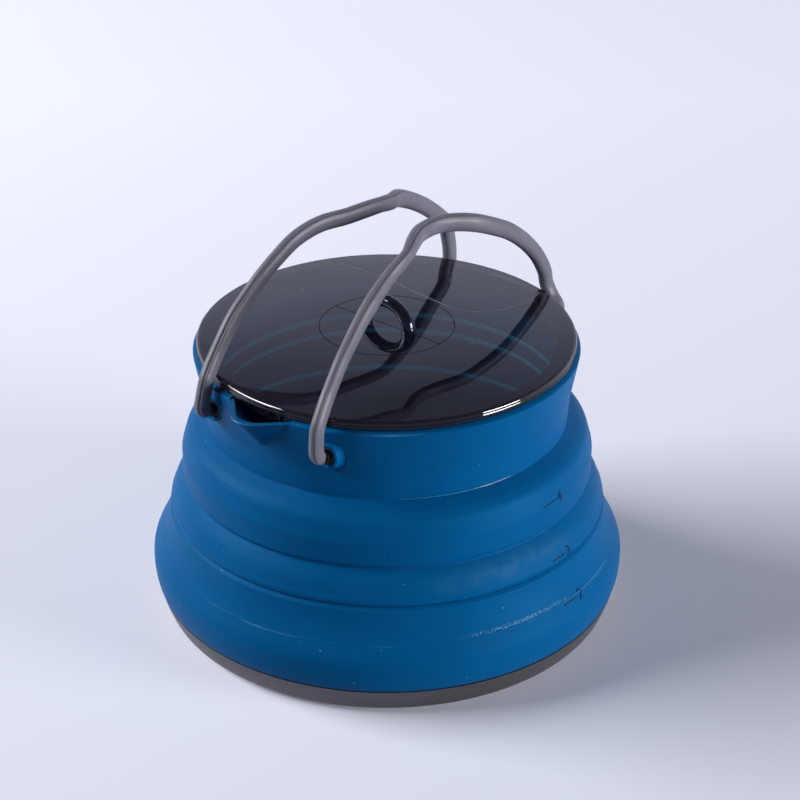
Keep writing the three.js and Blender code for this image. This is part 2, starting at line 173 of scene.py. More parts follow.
def lerp(a, b, share):
    return a + (b - a) * share


def new_object(name, verts, faces, material, smooth=35):
    mesh = bpy.data.meshes.new(name)
    mesh.from_pydata([tuple(v) for v in verts], [], [tuple(f) for f in faces])
    bm = bmesh.new()
    bm.from_mesh(mesh)
    bmesh.ops.remove_doubles(bm, verts=bm.verts, dist=1e-7)
    bmesh.ops.recalc_face_normals(bm, faces=bm.faces)
    bm.to_mesh(mesh)
    bm.free()
    finish_mesh(mesh, smooth)
    obj = bpy.data.objects.new(name, mesh)
    bpy.context.scene.collection.objects.link(obj)
    mesh.materials.append(material)
    return obj


def finish_mesh(mesh, smooth):
    mesh.polygons.foreach_set("use_smooth", [True] * len(mesh.polygons))
    mesh.set_sharp_from_angle(angle=math.radians(smooth))
    mesh.update()


def grid_faces(across, along, wrap_across, wrap_along):
    faces = []
    for u in range(across if wrap_across else across - 1):
        for v in range(along if wrap_along else along - 1):
            un, vn = (u + 1) % across, (v + 1) % along
            faces.append((u * along + v, un * along + v, un * along + vn, u * along + vn))
    return faces


def tube_faces(along, around, first=0):
    """The faces of a tube of rings, closed at both ends, from vertex number first on."""
    last = (along - 1) * around
    faces = grid_faces(along, around, False, True)
    faces += [tuple(range(around)), tuple(range(last + around - 1, last - 1, -1))]
    return [tuple(first + i for i in face) for face in faces]


def full_turn(count):
    return np.linspace(0, 2 * math.pi, count, endpoint=False)


def revolve(name, outline, material, sides=SIDES, smooth=35):
    """A closed outline of (radius, height) points turned about Z."""
    verts = [(r * math.cos(t), r * math.sin(t), z) for t in full_turn(sides) for r, z in outline]
    return new_object(name, verts, grid_faces(sides, len(outline), True, True), material, smooth)


def rounded(rows, steps=5):
    """A line of (radius, height, rounding) rows, each corner rounded over that length."""
    points = []
    for i, (r, z, soft) in enumerate(rows):
        here = np.array((r, z))
        if soft == 0 or i in (0, len(rows) - 1):
            points.append(here)
            continue
        ends = []
        for other in (rows[i - 1], rows[i + 1]):
            way = np.array(other[:2]) - here
            length = np.linalg.norm(way)
            ends.append(here + way / length * min(soft, 0.48 * length))
        for k in range(steps + 1):
            t = k / steps
            points.append((1 - t) ** 2 * ends[0] + 2 * t * (1 - t) * here + t * t * ends[1])
    return [tuple(p) for p in points]


def inset(outline, depth):
    """The outline moved inwards by a skin's thickness, square to itself."""
    points = np.array(outline)
    ways = np.gradient(points, axis=0)
    normals = np.stack([-ways[:, 1], ways[:, 0]], axis=1)
    normals /= np.maximum(np.linalg.norm(normals, axis=1), 1e-9)[:, None]
    return [tuple(p) for p in points + normals * depth]


def radius_at(outline, height):
    points = sorted(outline, key=lambda p: p[1])
    return float(np.interp(height, [p[1] for p in points], [p[0] for p in points]))


def cut_or_join(obj, tools, operation):
    """Joins tools to obj or cuts them out of it, then removes them."""
    for tool in tools:
        modifier = obj.modifiers.new("shape", "BOOLEAN")
        modifier.operation = operation
        modifier.solver = "EXACT"
        modifier.object = tool
    graph = bpy.context.evaluated_depsgraph_get()
    mesh = bpy.data.meshes.new_from_object(obj.evaluated_get(graph))
    obj.modifiers.clear()
    obj.data = mesh
    for tool in tools:
        bpy.data.objects.remove(tool, do_unlink=True)


# Materials
def material(name, colour, roughness, metallic=0.0):
    mat = bpy.data.materials.new(name)
    mat.use_nodes = True
    shader = mat.node_tree.nodes["Principled BSDF"]
    shader.inputs["Base Color"].default_value = (*colour, 1)
    shader.inputs["Roughness"].default_value = roughness
    shader.inputs["Metallic"].default_value = metallic
    return mat


def node(owner, kind, **settings):
    """A new node of a material or of the world."""
    made = owner.node_tree.nodes.new(kind)
    for key, value in settings.items():
        if key in made.inputs:
            made.inputs[key].default_value = value
        else:
            setattr(made, key, value)
    return made


def link(owner, source, target):
    owner.node_tree.links.new(source, target)


def place(mat, stretch=(1, 1, 1)):
    """Object coordinates, stretched."""
    coords = node(mat, "ShaderNodeTexCoord")
    mapping = node(mat, "ShaderNodeMapping")
    mapping.inputs["Scale"].default_value = stretch
    link(mat, coords.outputs["Object"], mapping.inputs["Vector"])
    return mapping.outputs["Vector"]


def noise(mat, scale, detail=3, stretch=(1, 1, 1)):
    made = node(mat, "ShaderNodeTexNoise", Scale=scale, Detail=detail)
    link(mat, place(mat, stretch), made.inputs["Vector"])
    return made.outputs["Fac"]


def ramp(mat, value, low, high, dark, light):
    made = node(mat, "ShaderNodeValToRGB")
    made.color_ramp.elements[0].position = low
    made.color_ramp.elements[1].position = high
    made.color_ramp.elements[0].color = (*dark, 1)
    made.color_ramp.elements[1].color = (*light, 1)
    link(mat, value, made.inputs["Fac"])
    return made.outputs["Color"]


def span(owner, value, limits):
    """A value moved between ranges, given as from low, from high, to low, to high."""
    made = node(owner, "ShaderNodeMapRange")
    for key, limit in zip(("From Min", "From Max", "To Min", "To Max"), limits):
        made.inputs[key].default_value = limit
    link(owner, value, made.inputs["Value"])
    return made.outputs["Result"]


def maths(owner, operation, first, second=0.0):
    """One sum of two values, each a socket or a plain number."""
    made = node(owner, "ShaderNodeMath", operation=operation)
    for socket, value in zip(made.inputs, (first, second)):
        if isinstance(value, bpy.types.NodeSocket):
            link(owner, value, socket)
        else:
            socket.default_value = value
    return made.outputs[0]


def height_of(owner, coords):
    made = node(owner, "ShaderNodeSeparateXYZ")
    link(owner, coords, made.inputs["Vector"])
    return made.outputs["Z"]


def reach_along(owner, coords, turn):
    """How far coordinates lie along the level direction at that turn from +X."""
    made = node(owner, "ShaderNodeVectorMath", operation="DOT_PRODUCT")
    link(owner, coords, made.inputs[0])
    made.inputs[1].default_value = (math.cos(turn), math.sin(turn), 0)
    return made.outputs["Value"]


def shader_input(mat, name):
    return mat.node_tree.nodes["Principled BSDF"].inputs[name]


def adjust(mat, values):
    """Sets the shader's own sockets."""
    for name, value in values.items():
        shader_input(mat, name).default_value = value


def bump(mat, value, strength, depth):
    made = node(mat, "ShaderNodeBump", Strength=strength, Distance=depth)
    link(mat, value, made.inputs["Height"])
    link(mat, made.outputs["Normal"], shader_input(mat, "Normal"))


def blend_colour(mat, factor, first, second):
    made = node(mat, "ShaderNodeMix", data_type="RGBA")
    link(mat, factor, made.inputs["Factor"])
    link(mat, first, made.inputs[6])
    made.inputs[7].default_value = (*second, 1)
    return made.outputs[2]


def tone(mat, scale, detail, dark, light, stretch=(1, 1, 1)):
    """A colour that wanders between two close ones."""
    return ramp(mat, noise(mat, scale, detail, stretch), 0.3, 0.7, dark, light)


def patches(mat, scale, detail, low, high, most=1.0):
    """0 nearly everywhere, rising to most where the noise passes from low to high."""
    return ramp(mat, noise(mat, scale, detail), low, high, (0, 0, 0), (most, most, most))


def side_band(mat, turn, near, far):
    """0 at reach near and 1 at reach far along the level direction at that turn from +X."""
    return span(mat, reach_along(mat, place(mat), turn), (near, far, 0, 1))


def height_band(mat, height, width):
    """1 on a level line round the axis, falling to 0 a width away from it."""
    off = maths(mat, "ABSOLUTE", maths(mat, "SUBTRACT", height_of(mat, place(mat)), height))
    return span(mat, off, (0, width, 1, 0))


def surface(mat, colour, scale, detail, smooth, rough, stretch=(1, 1, 1)):
    """The shader's colour, and a roughness that wanders between two values."""
    link(mat, colour, shader_input(mat, "Base Color"))
    roughness = span(mat, noise(mat, scale, detail, stretch), (0, 1, smooth, rough))
    link(mat, roughness, shader_input(mat, "Roughness"))


def wear_and_painted_highlight(mat, colour, height):
    """Paler patches along a fine edge of the silicone at one height: partly wear, partly a painted
    highlight where the edge catches light.
    """
    rub_and_glint = patches(mat, 45, 5, 0.5, 0.72, 0.55)
    edge = maths(mat, "MULTIPLY", height_band(mat, height, 0.35 * MM), rub_and_glint)
    return blend_colour(mat, edge, colour, (0.14, 0.34, 0.55))


def scuffs_and_painted_glint(mat, colour):
    """A faint greyish rub on the band, and fine scratches above the mould line on one side, whose pale
    colour is partly a painted highlight.
    """
    grime = patches(mat, 170, 7, 0.35, 0.75, 0.36)
    rub = maths(mat, "MULTIPLY", height_band(mat, SCUFF_HEIGHT, 5 * MM), grime)
    rub = maths(mat, "MULTIPLY", rub, side_band(mat, SCUFF_AND_GLINT_TURN, 66 * MM, 75 * MM))
    colour = blend_colour(mat, rub, colour, (0.08, 0.21, 0.36))
    # Pale scratches on one side of the mould line: partly real, partly a painted highlight.
    scratch_and_glint_flecks = patches(mat, 1700, 1, 0.48, 0.66)
    line = maths(mat, "MULTIPLY", height_band(mat, MOULD_LINE + 0.9 * MM, 0.8 * MM), scratch_and_glint_flecks)
    line = maths(mat, "MULTIPLY", line, side_band(mat, SCUFF_AND_GLINT_TURN, 76 * MM, 81 * MM))
    return blend_colour(mat, line, colour, (0.3, 0.5, 0.68))


def silicone_material():
    mat = material("silicone", (0.0005, 0.096, 0.282), 0.52)
    adjust(mat, {"Specular IOR Level": 0.14, "Specular Tint": (0.02, 0.45, 1, 1)})
    colour = tone(mat, 28, 4, (0.0005, 0.09, 0.268), (0.0005, 0.102, 0.296))
    haze = patches(mat, 130, 6, 0.56, 0.8, 0.1)
    colour = blend_colour(mat, haze, colour, (0.02, 0.14, 0.32))
    # Pale lines at the mould line, the collar's foot and the rim's edge: partly wear, partly painted
    # highlight.
    for height in (MOULD_LINE, COLLAR_FOOT + 0.2 * MM, RIM_EDGE):
        colour = wear_and_painted_highlight(mat, colour, height)
    colour = scuffs_and_painted_glint(mat, colour)
    colour = blend_colour(mat, patches(mat, 950, 1, 0.79, 0.83), colour, (0.22, 0.45, 0.62))
    surface(mat, colour, 120, 3, 0.46, 0.58)
    bump(mat, noise(mat, 2600, 2), 0.1, 0.02 * MM)
    return mat


def anodised_material():
    mat = material("anodised", (0.1, 0.098, 0.108), 0.42, 0.6)
    colour = tone(mat, 60, 4, (0.094, 0.092, 0.101), (0.107, 0.104, 0.115), (1, 1, 14))
    surface(mat, colour, 400, 2, 0.38, 0.48, (1, 1, 9))
    bump(mat, noise(mat, 3500, 2), 0.1, 0.01 * MM)
    return mat


def sleeve_material():
    mat = material("sleeve", (0.182, 0.182, 0.245), 0.45)
    adjust(mat, {"Specular IOR Level": 0.35, "Subsurface Weight": 0.25,
                 "Subsurface Radius": (0.6, 0.6, 0.7), "Subsurface Scale": 2 * MM})
    colour = tone(mat, 220, 4, (0.136, 0.136, 0.178), (0.156, 0.156, 0.205), (3, 0.35, 0.35))
    surface(mat, colour, 500, 3, 0.36, 0.48)
    bump(mat, noise(mat, 900, 3, (4, 0.5, 0.5)), 0.12, 0.04 * MM)
    return mat


def smoky_material(name, opacity, gloss=1.0, tint=(0.64, 0.69, 1, 1), dust=False):
    """Smoky plastic, see-through by an even alpha, with a bluish gloss."""
    mat = material(name, (0.008, 0.009, 0.016), 0.03)
    adjust(mat, {"Specular IOR Level": gloss, "Specular Tint": tint, "Alpha": opacity})
    colour = tone(mat, 40, 3, (0.007, 0.008, 0.014), (0.009, 0.010, 0.018))
    if dust:
        colour = blend_colour(mat, patches(mat, 700, 1, 0.8, 0.83), colour, (0.45, 0.45, 0.5))
    surface(mat, colour, 90, 3, 0.025, 0.035)
    return mat


def plain_material(name, colour, roughness, gloss=0.5, metallic=0.0):
    mat = material(name, colour, roughness, metallic)
    adjust(mat, {"Specular IOR Level": gloss})
    wander = tone(mat, 200, 3, [c * 0.9 for c in colour], [c * 1.08 for c in colour])
    surface(mat, wander, 600, 3, roughness * 0.9, roughness * 1.1)
    return mat


silicone = silicone_material()
anodised = anodised_material()
sleeve = sleeve_material()
smoky = smoky_material("smoky", 0.68, dust=True)
smoky_inside = smoky_material("smoky_inside", 0.12)
smoky_thick = smoky_material("smoky_thick", 0.96, gloss=0.6)
smoky_edge = smoky_material("smoky_edge", 0.97, gloss=0.3)
smoky_glint = smoky_material("smoky_glint", 0.97, tint=(1, 1, 1, 1))
line_dark = plain_material("lid_line", (0.006, 0.006, 0.01), 0.8, gloss=0.05)
line_pale = plain_material("lid_pale_line", (0.1, 0.105, 0.14), 0.5)
# A paler silicone that glows though it is no lamp: painted light on the inner edges of the folds.
silicone_painted_glow = plain_material("silicone_painted_glow", (0, 0.28, 0.45), 0.4)
adjust(silicone_painted_glow, {"Emission Color": (0, 0.045, 0.085, 1), "Emission Strength": 1})
# Paler and glossier than the body's silicone: a painted highlight on fine beads.
silicone_painted_highlight = plain_material("silicone_painted_highlight", (0.005, 0.17, 0.4), 0.12, gloss=0.8)
# Darker than the body's silicone: painted shade on the capacity marks.
silicone_mark_painted_shade = plain_material("silicone_mark_painted_shade", (0.0005, 0.058, 0.18), 0.5, gloss=0.1)
bush = plain_material("bush", (0.005, 0.005, 0.007), 0.6, gloss=0.2)
steel = plain_material("steel", (0.55, 0.55, 0.57), 0.25, metallic=1.0)


# The pan
def pan_rows():
    side = [(0.35, 0.2), (0.61, 0.46), (0.83, 0.73)]
    rows = [(FOOT - FOOT_BEND, 0, 0.8 * MM)]
    rows += [(lerp(FOOT, PAN_RIM, out), up * PAN_HEIGHT, 1.5 * MM) for out, up in side]
    return rows + [(PAN_RIM, PAN_HEIGHT, 0)]


def make_pan():
    """A dish whose rim carries an upright tongue, hidden in the bowl's foot."""
    inner = [(r - PAN_WALL, PAN_FLOOR + z * (1 - PAN_FLOOR / PAN_HEIGHT))
             for r, z, _ in reversed(pan_rows()[1:-1])]
    outline = rounded([(0, 0, 0)] + pan_rows())
    outline += [(TONGUE, PAN_HEIGHT), (TONGUE, TONGUE_TOP)]
    outline += [(TONGUE_INNER, TONGUE_TOP), (TONGUE_INNER, PAN_HEIGHT)]
    outline += inner + [(FOOT - PAN_WALL - FOOT_BEND, PAN_FLOOR), (0, PAN_FLOOR)]
    return revolve("pan_dish", outline, anodised, smooth=30)


# The silicone body
def bowl_rows():
    """Out from the pan's rim to the widest part, then in along a curve to the shoulder and groove."""
    height = WALL_FOOT - PAN_HEIGHT
    low, high = PAN_HEIGHT + 0.23 * height, PAN_HEIGHT + 0.34 * height
    shoulder_z = WALL_FOOT - 1.1 * MM
    a, b, c, d = [np.array((lerp(BOWL_WIDEST, BOWL_SHOULDER, inward), lerp(high, shoulder_z, up)))
                  for inward, up in ((0, 0), (0.06, 0.3), (0.78, 0.41), (1, 1))]
    rows = [(PAN_RIM - 0.4 * MM, PAN_HEIGHT + SEAT_GAP, 0),
            (PAN_RIM + 0.1 * MM, PAN_HEIGHT + 0.5 * MM, 0.3 * MM),
            (lerp(PAN_RIM, BOWL_WIDEST, 0.7), lerp(PAN_HEIGHT, low, 0.48), 1.5 * MM),
            (BOWL_WIDEST, low, 1.5 * MM)]
    for t in np.linspace(0, 1, 15):
        p = (1 - t) ** 3 * a + 3 * t * (1 - t) ** 2 * b + 3 * t * t * (1 - t) * c + t ** 3 * d
        rows.append((p[0], p[1], 0.4 * MM))
    return rows + [(GROOVE, WALL_FOOT, 0)]


def seam_line(outline, height, proud, width):
    """A hair-fine raised mould line round the outside at one height."""
    return [(r + proud * math.exp(-((z - height) / width) ** 2), z) for r, z in outline]


def dense(outline, step):
    """The outline with extra points, no further apart than a step."""
    points = []
    for a, b in zip(outline, outline[1:]):
        count = max(1, math.ceil(math.dist(a, b) / step))
        points += [(lerp(a[0], b[0], k / count), lerp(a[1], b[1], k / count)) for k in range(count)]
    return points + [outline[-1]]


def bowl_outside():
    return seam_line(dense(rounded(bowl_rows()), 0.5 * MM), MOULD_LINE, 0.1 * MM, 0.25 * MM)


def make_bowl():
    """The bowl's outline, with a bead inside its foot whose slot takes the pan's tongue."""
    outside = bowl_outside()
    slot_out, slot_in, slot_top = TONGUE + SEAT_GAP, TONGUE_INNER - SEAT_GAP, TONGUE_TOP + SEAT_GAP
    bead_in, bead_foot = slot_in - 1.6 * MM, slot_top - 3 * MM
    inside = [p for p in inset(outside, SKIN) if slot_top + SKIN < p[1] < WALL_FOOT - 0.3 * MM]
    outline = outside + [(GROOVE - SKIN, WALL_FOOT)] + inside[::-1]
    outline += [(bead_in, slot_top), (bead_in, bead_foot), (slot_in, bead_foot)]
    outline += [(slot_in, slot_top), (slot_out, slot_top), (slot_out, PAN_HEIGHT + SEAT_GAP)]
    return revolve("silicone_bowl", outline, silicone, smooth=50)


def wall_rows():
    """The folds. A row is first a radius, a share of the wall's height and a rounding in mm."""
    rows = [(GROOVE, 0, 0), (WALL_LIP, 0.028, 0.35), (WALL_LIP, 0.067, 0.6), (GROOVE, 0.11, 0.6)]
    rows += [(lerp(GROOVE, LOW_CREASE, inward), share, 0.8)
             for inward, share in [(0.13, 0.17), (0.36, 0.24), (0.7, 0.31)]]
    rows += [(LOW_CREASE, 0.359, 0.7), (BAND, 0.399, 0.6), (BAND, 0.644, 0.5), (BAND_TOP, 0.825, 0.8)]
    rows += [(lerp(BAND_TOP, HIGH_CREASE, inward), share, 0.7)
             for inward, share in [(0.13, 0.87), (0.42, 0.925), (0.75, 0.968)]]
    rows.append((HIGH_CREASE, 1, 0))
    return [(r, lerp(WALL_FOOT, COLLAR_FOOT, share), MM * soft) for r, share, soft in rows]


def wall_outside():
    return dense(rounded(wall_rows()), 0.6 * MM)


def make_wall():
    outside = wall_outside()
    inside = [(r - SKIN, z) for r, z in outside]
    return revolve("fold_wall", outside + inside[::-1], silicone, smooth=60)


def inner_edge(name, radius, height):
    """A fine bead round an inner edge of the folds, where the skin is thin. Its paler silicone glows:
    painted light, standing in for light that comes through.
    """
    bead, middle = 0.9 * MM, radius - SKIN - 0.1 * MM
    outline = [(middle + bead * 0.5 * math.cos(a), height + bead * math.sin(a)) for a in full_turn(8)]
    return revolve(name, outline, silicone_painted_glow, 96)


def glossy_painted_highlight_bead(name, places, size):
    """A hair-fine smooth bead along the collar, through (turn, radius, height) places, tapering out. Its
    silicone is glossy and paler than the body's: a painted highlight besides the real one.
    """
    around = 12
    verts = []
    for i, (turn, radius, height) in enumerate(places):
        thick = size * math.sin(math.pi * (i + 0.4) / (len(places) - 0.2)) ** 0.4
        for a in full_turn(around):
            r, z = radius + thick * math.cos(a), height + thick * math.sin(a)
            verts.append((r * math.sin(turn), -r * math.cos(turn), z))
    return new_object(name, verts, tube_faces(len(places), around), silicone_painted_highlight, 80)


def foot_bead():
    """Under the collar's foot, where its edge catches the light. The bead's paler colour is a painted
    highlight there.
    """
    radius, height = HIGH_CREASE + 0.1 * MM, COLLAR_FOOT + 0.35 * MM
    turns = np.radians(np.linspace(46, 82, 48))
    return glossy_painted_highlight_bead("collar_foot_bead", [(t, radius, height) for t in turns], 0.3 * MM)


def spout_bead():
    # Along the spout's lip: a real fine bead, with a painted highlight in its paler colour.
    reach = spout_half_turn() - 0.01
    turns = np.linspace(-reach, reach, 90)
    places = [(t, outer_collar(t, RIM_EDGE) - 0.12 * MM, RIM_EDGE) for t in turns]
    return glossy_painted_highlight_bead("spout_bead", places, 0.16 * MM)


def collar_radius(height):
    if height < COLLAR_STEP:
        return lerp(HIGH_CREASE, STEP_RADIUS, (height - COLLAR_FOOT) / (COLLAR_STEP - COLLAR_FOOT))
    return lerp(STEP_RADIUS, RIM, (height - COLLAR_STEP) / (RIM_EDGE - COLLAR_STEP))


def spout_half_turn():
    """Half the angle that the spout's opening takes up in the rim."""
    return math.asin(SPOUT_HALF / (RIM - BEVEL_WIDTH))


def spout_radius(turn, height, shift=0.0):
    """Distance from the axis to the spout at an angle from its middle: straight flanks, rounded tip."""
    root = collar_radius(RIM_EDGE - SPOUT_DEPTH)
    share = (height - (RIM_EDGE - SPOUT_DEPTH)) / SPOUT_DEPTH
    spread = math.atan2(SPOUT_HALF, RIM + SPOUT_OVERHANG - math.sqrt(RIM ** 2 - SPOUT_HALF ** 2))
    apex = lerp(root, RIM + SPOUT_OVERHANG, share) - shift
    ball = SPOUT_ROUND * lerp(0.3, 1, share)
    middle = apex - ball / math.sin(spread)
    away = abs(turn)
    if away < math.atan2(ball * math.cos(spread), middle + ball * math.sin(spread)):
        return middle * math.cos(away) + math.sqrt(ball ** 2 - (middle * math.sin(away)) ** 2)
    return apex / (math.cos(away) + math.sin(away) / math.tan(spread))


def soft_max(a, b, width):
    """The larger of two lengths, blended over a width where they meet."""
    upper = 0.5 * (a + b + math.sqrt((a - b) ** 2 + width ** 2))
    return upper - 0.25 * width * math.exp(-abs(a - b) / width)


def outer_collar(turn, height):
    if abs(turn) > SPOUT_ENDS:
        return collar_radius(height)
    return soft_max(collar_radius(height), spout_radius(turn, height), 0.35 * MM)


def spout_crown(edge):
    """Over the spout's thin lip, from its outer edge inwards."""
    lip = edge - SPOUT_WALL * 1.25
    top = RIM_EDGE + 0.05 * MM
    return [(edge - 0.03 * MM, RIM_EDGE - 0.12 * MM), (edge - 0.15 * MM, top),
            (lerp(edge, lip, 0.6), top), (lip + 0.2 * MM, RIM_EDGE - 0.05 * MM),
            (lip, RIM_EDGE - 0.4 * MM)]


def rim_crown(edge):
    """Up the rim's bevel and over its land, from its outer edge inwards."""
    outer = RIM - BEVEL_WIDTH
    return [(edge - 0.1 * MM, RIM_EDGE - 0.1 * MM), (edge - 0.5 * MM, RIM_EDGE + 0.2 * MM),
            (outer + 0.5 * MM, RIM_TOP - 0.12 * MM), (outer - 0.4 * MM, RIM_TOP), (LAND_INNER, RIM_TOP)]


def spout_inside(turn, share):
    """A point on the trough, a share of the way down it."""
    z = lerp(RIM_EDGE - 0.8 * MM, RIM_EDGE - SPOUT_DEPTH, share)
    return max(spout_radius(turn, z, SPOUT_WALL * 1.6), collar_radius(z) - SKIN), z


def rim_inside(share):
    """A point down the land's inner face for two thirds of the way, then back to the wall."""
    z = lerp(RIM_TOP - 0.3 * MM, RIM_EDGE - LAND_DEPTH + RIM_BEVEL, min(1, share * 1.5))
    late = max(0, share - 2 / 3) * 3
    return lerp(LAND_INNER, collar_radius(z) - SKIN, late), z - late * 1.7 * MM


def collar_column(turn):
    """The collar's closed outline at an angle from the spout's middle."""
    rises, falls, last_steps = 44, 12, 5
    heights = np.linspace(COLLAR_FOOT, RIM_EDGE - 0.5 * MM, rises + 1)
    points = [(outer_collar(turn, z), z) for z in heights]
    in_spout = abs(turn) < spout_half_turn()
    edge = outer_collar(turn, RIM_EDGE)
    points += spout_crown(edge) if in_spout else rim_crown(edge)
    for k in range(falls + 1):
        points.append(spout_inside(turn, k / falls) if in_spout else rim_inside(k / falls))
    for z in np.linspace(points[-1][1], COLLAR_FOOT, last_steps + 1)[1:-1]:
        points.append((collar_radius(z) - SKIN, z))
    return points + [(HIGH_CREASE - SKIN, COLLAR_FOOT)]


def collar_turns():
    """Column angles from the spout's middle, finer over the spout."""
    mouth, shoulder, hair = spout_half_turn(), 0.33, 0.0008
    fine = list(np.linspace(0, mouth - hair, 36)) + list(np.linspace(mouth + hair, shoulder, 24))
    half = fine + list(np.linspace(shoulder, math.pi, 92))[1:]
    return [-t for t in reversed(half[1:-1])] + half


def make_collar():
    turns = collar_turns()
    columns = [collar_column(t) for t in turns]
    verts = [(r * math.sin(t), -r * math.cos(t), z)
             for t, column in zip(turns, columns) for r, z in column]
    faces = grid_faces(len(turns), len(columns[0]), True, True)
    collar = new_object("silicone_collar", verts, faces, silicone)
    eyes = [(x, side) for x in (-PIVOT_X, PIVOT_X) for side in (-1, 1)]
    cut_or_join(collar, [make_eye(x, side) for x, side in eyes], "UNION")
    cut_or_join(collar, [make_bore(x, side) for x, side in eyes], "DIFFERENCE")
    finish_mesh(collar.data, 40)
    return collar


def along_y(name, outline, x, side, material, sides=48):
    """A closed outline of (radius, reach) points turned about the line of the pivots."""
    verts = [(x + r * math.cos(t), side * y, PIVOT_Z + r * math.sin(t))
             for t in full_turn(sides) for r, y in outline]
    return new_object(name, verts, grid_faces(sides, len(outline), True, True), material)


def make_bore(x, side):
    hole, near, far = BUSH + 0.2 * MM, EYE_INNER - 3 * MM, EYE_FACE + MM
    return along_y("bore", [(0, near), (hole, near), (hole, far), (0, far)], x, side, silicone)


def make_eye(x, side):
    """A round boss on the collar, its crest rounded like a ring about the bush."""
    soft, spread = 0.9 * MM, 1.8 * MM
    face = EYE_FACE - 0.8 * MM
    crest = [(BUSH - MM, face), (BUSH + 0.25 * MM, EYE_FACE - 0.3 * MM), (BUSH + 0.5 * MM, EYE_FACE)]
    arc = [(EYE - soft + soft * math.sin(a), EYE_FACE - soft + soft * math.cos(a))
           for a in np.linspace(0, math.pi / 2, 7)]
    flare = [(EYE + spread * (1 - math.cos(a)), EYE_FACE - soft - 2.6 * MM * math.sin(a))
             for a in np.linspace(0.2, math.pi / 2, 7)]
    outline = [(0, face)] + crest + arc + flare + [(EYE + spread, EYE_INNER), (0, EYE_INNER)]
    return along_y("eye", outline, x, side, silicone)


def make_eyelet(name, x, side):
    """A dark bush that fills the eye and stands a little out of it round the wire."""
    bore, neck = WIRE + SEAT_GAP, 2.3 * MM
    outline = [(bore, EYE_INNER), (bore, EYE_FACE + 0.9 * MM), (bore + 0.2 * MM, EYE_FACE + MM),
               (neck - 0.2 * MM, EYE_FACE + MM), (neck, EYE_FACE + 0.8 * MM),
               (neck, EYE_FACE - 0.5 * MM), (BUSH - 0.3 * MM, EYE_FACE - 0.7 * MM),
               (BUSH, EYE_FACE - MM), (BUSH, EYE_INNER)]
    return along_y(name, outline, x, side, bush, 40)


# The handles
# Each row is a place along the hoop, as shares: along Y, up the leg, of HOOP_RISE above the lid's
# edge, and of HOOP_BOW inwards, and then the sleeve's girth there. The first three shares were
# solved for from points read in the photograph, and some were then moved.
LEFT_HOOP = [
    (-1.008, 0.552, 0, 0.14, 1), (-0.991, 0.99, 0, 0.21, 1), (-0.953, 1, 0.062, 0.14, 1),
    (-0.897, 1, 0.145, 0.07, 1), (-0.833, 1, 0.278, 0.08, 1), (-0.755, 1, 0.407, 0.06, 1),
    (-0.649, 1, 0.545, 0.09, 1), (-0.563, 1, 0.662, 0.16, 1), (-0.448, 1, 0.79, 0.26, 1),
    (-0.33, 1, 0.898, 0.38, 1), (-0.176, 1, 0.955, 0.55, 1.02), (0, 1, 0.948, 0.78, 1.02),
    (0.138, 1, 0.95, 0.93, 1.02), (0.234, 1, 0.94, 0.97, 1.02), (0.333, 1, 0.908, 0.88, 0.97),
    (0.416, 1, 0.884, 0.7, 1.04), (0.544, 1, 0.79, 0.54, 1.12), (0.657, 1, 0.687, 0.44, 1.1),
    (0.753, 1, 0.586, 0.33, 1.08), (0.872, 1, 0.44, 0.22, 1.08), (0.967, 1, 0.304, 0.09, 1.06),
    (1.006, 1, 0.173, -0.04, 1.06), (1.016, 1, 0.04, 0, 1.03), (1.018, 0.62, 0, 0, 1),
]
RIGHT_HOOP = [
    (-1.007, 0.588, 0, -0.05, 0.95), (-1.005, 0.902, 0, -0.08, 0.93), (-0.965, 1, 0.073, -0.045, 0.93),
    (-0.903, 1, 0.181, 0.05, 0.93), (-0.829, 1, 0.27, 0.19, 0.93), (-0.744, 1, 0.372, 0.34, 0.93),
    (-0.652, 1, 0.46, 0.49, 0.94), (-0.547, 1, 0.565, 0.64, 0.96), (-0.448, 1, 0.66, 0.74, 0.99),
    (-0.275, 1, 0.785, 0.91, 1.05), (-0.126, 1, 0.887, 0.96, 0.97), (-0.019, 1, 0.926, 1.25, 0.9),
    (0.086, 1, 0.937, 1.5, 1.09), (0.225, 1, 0.937, 1.49, 1.11), (0.338, 1, 0.913, 1.25, 1.1),
    (0.435, 1, 0.872, 0.99, 1.12), (0.553, 1, 0.788, 0.83, 1.13), (0.672, 1, 0.686, 0.73, 1.1),
    (0.744, 1, 0.603, 0.67, 1.08), (0.832, 1, 0.483, 0.65, 1.04), (0.922, 1, 0.323, 0.62, 1.01),
    (0.98, 1, 0.145, 0.54, 0.98), (1.004, 1, 0.01, 0.54, 0.98), (1.02, 0.66, 0, 0.36, 0.97),
    (1.018, 0.42, 0, 0.08, 0.96),
]


def handle_knots(direction, hoop):
    start = EYE_FACE + SEAT_GAP
    straight = 0.3 * MM
    reach = max(math.sqrt(RIM ** 2 - PIVOT_X ** 2) + MM, start + straight + SEAT_GAP) + GRIP_DEEP / 2
    bend = reach - start - straight
    x = direction * PIVOT_X

    def hook(side):
        points = [Vector((x, side * start, PIVOT_Z))]
        for turn in np.linspace(0, math.pi / 2, HOOK_STEPS):
            along = start + straight + bend * math.sin(turn)
            points.append(Vector((x, side * along, PIVOT_Z + bend * (1 - math.cos(turn)))))
        return points

    leg = LID_EDGE_TOP - PIVOT_Z
    middle = [Vector((direction * (PIVOT_X - bow * HOOP_BOW), along * reach,
                      PIVOT_Z + leg * up + rise * HOOP_RISE)) for along, up, rise, bow, girth in hoop]
    return hook(-1) + middle + hook(1)[::-1]


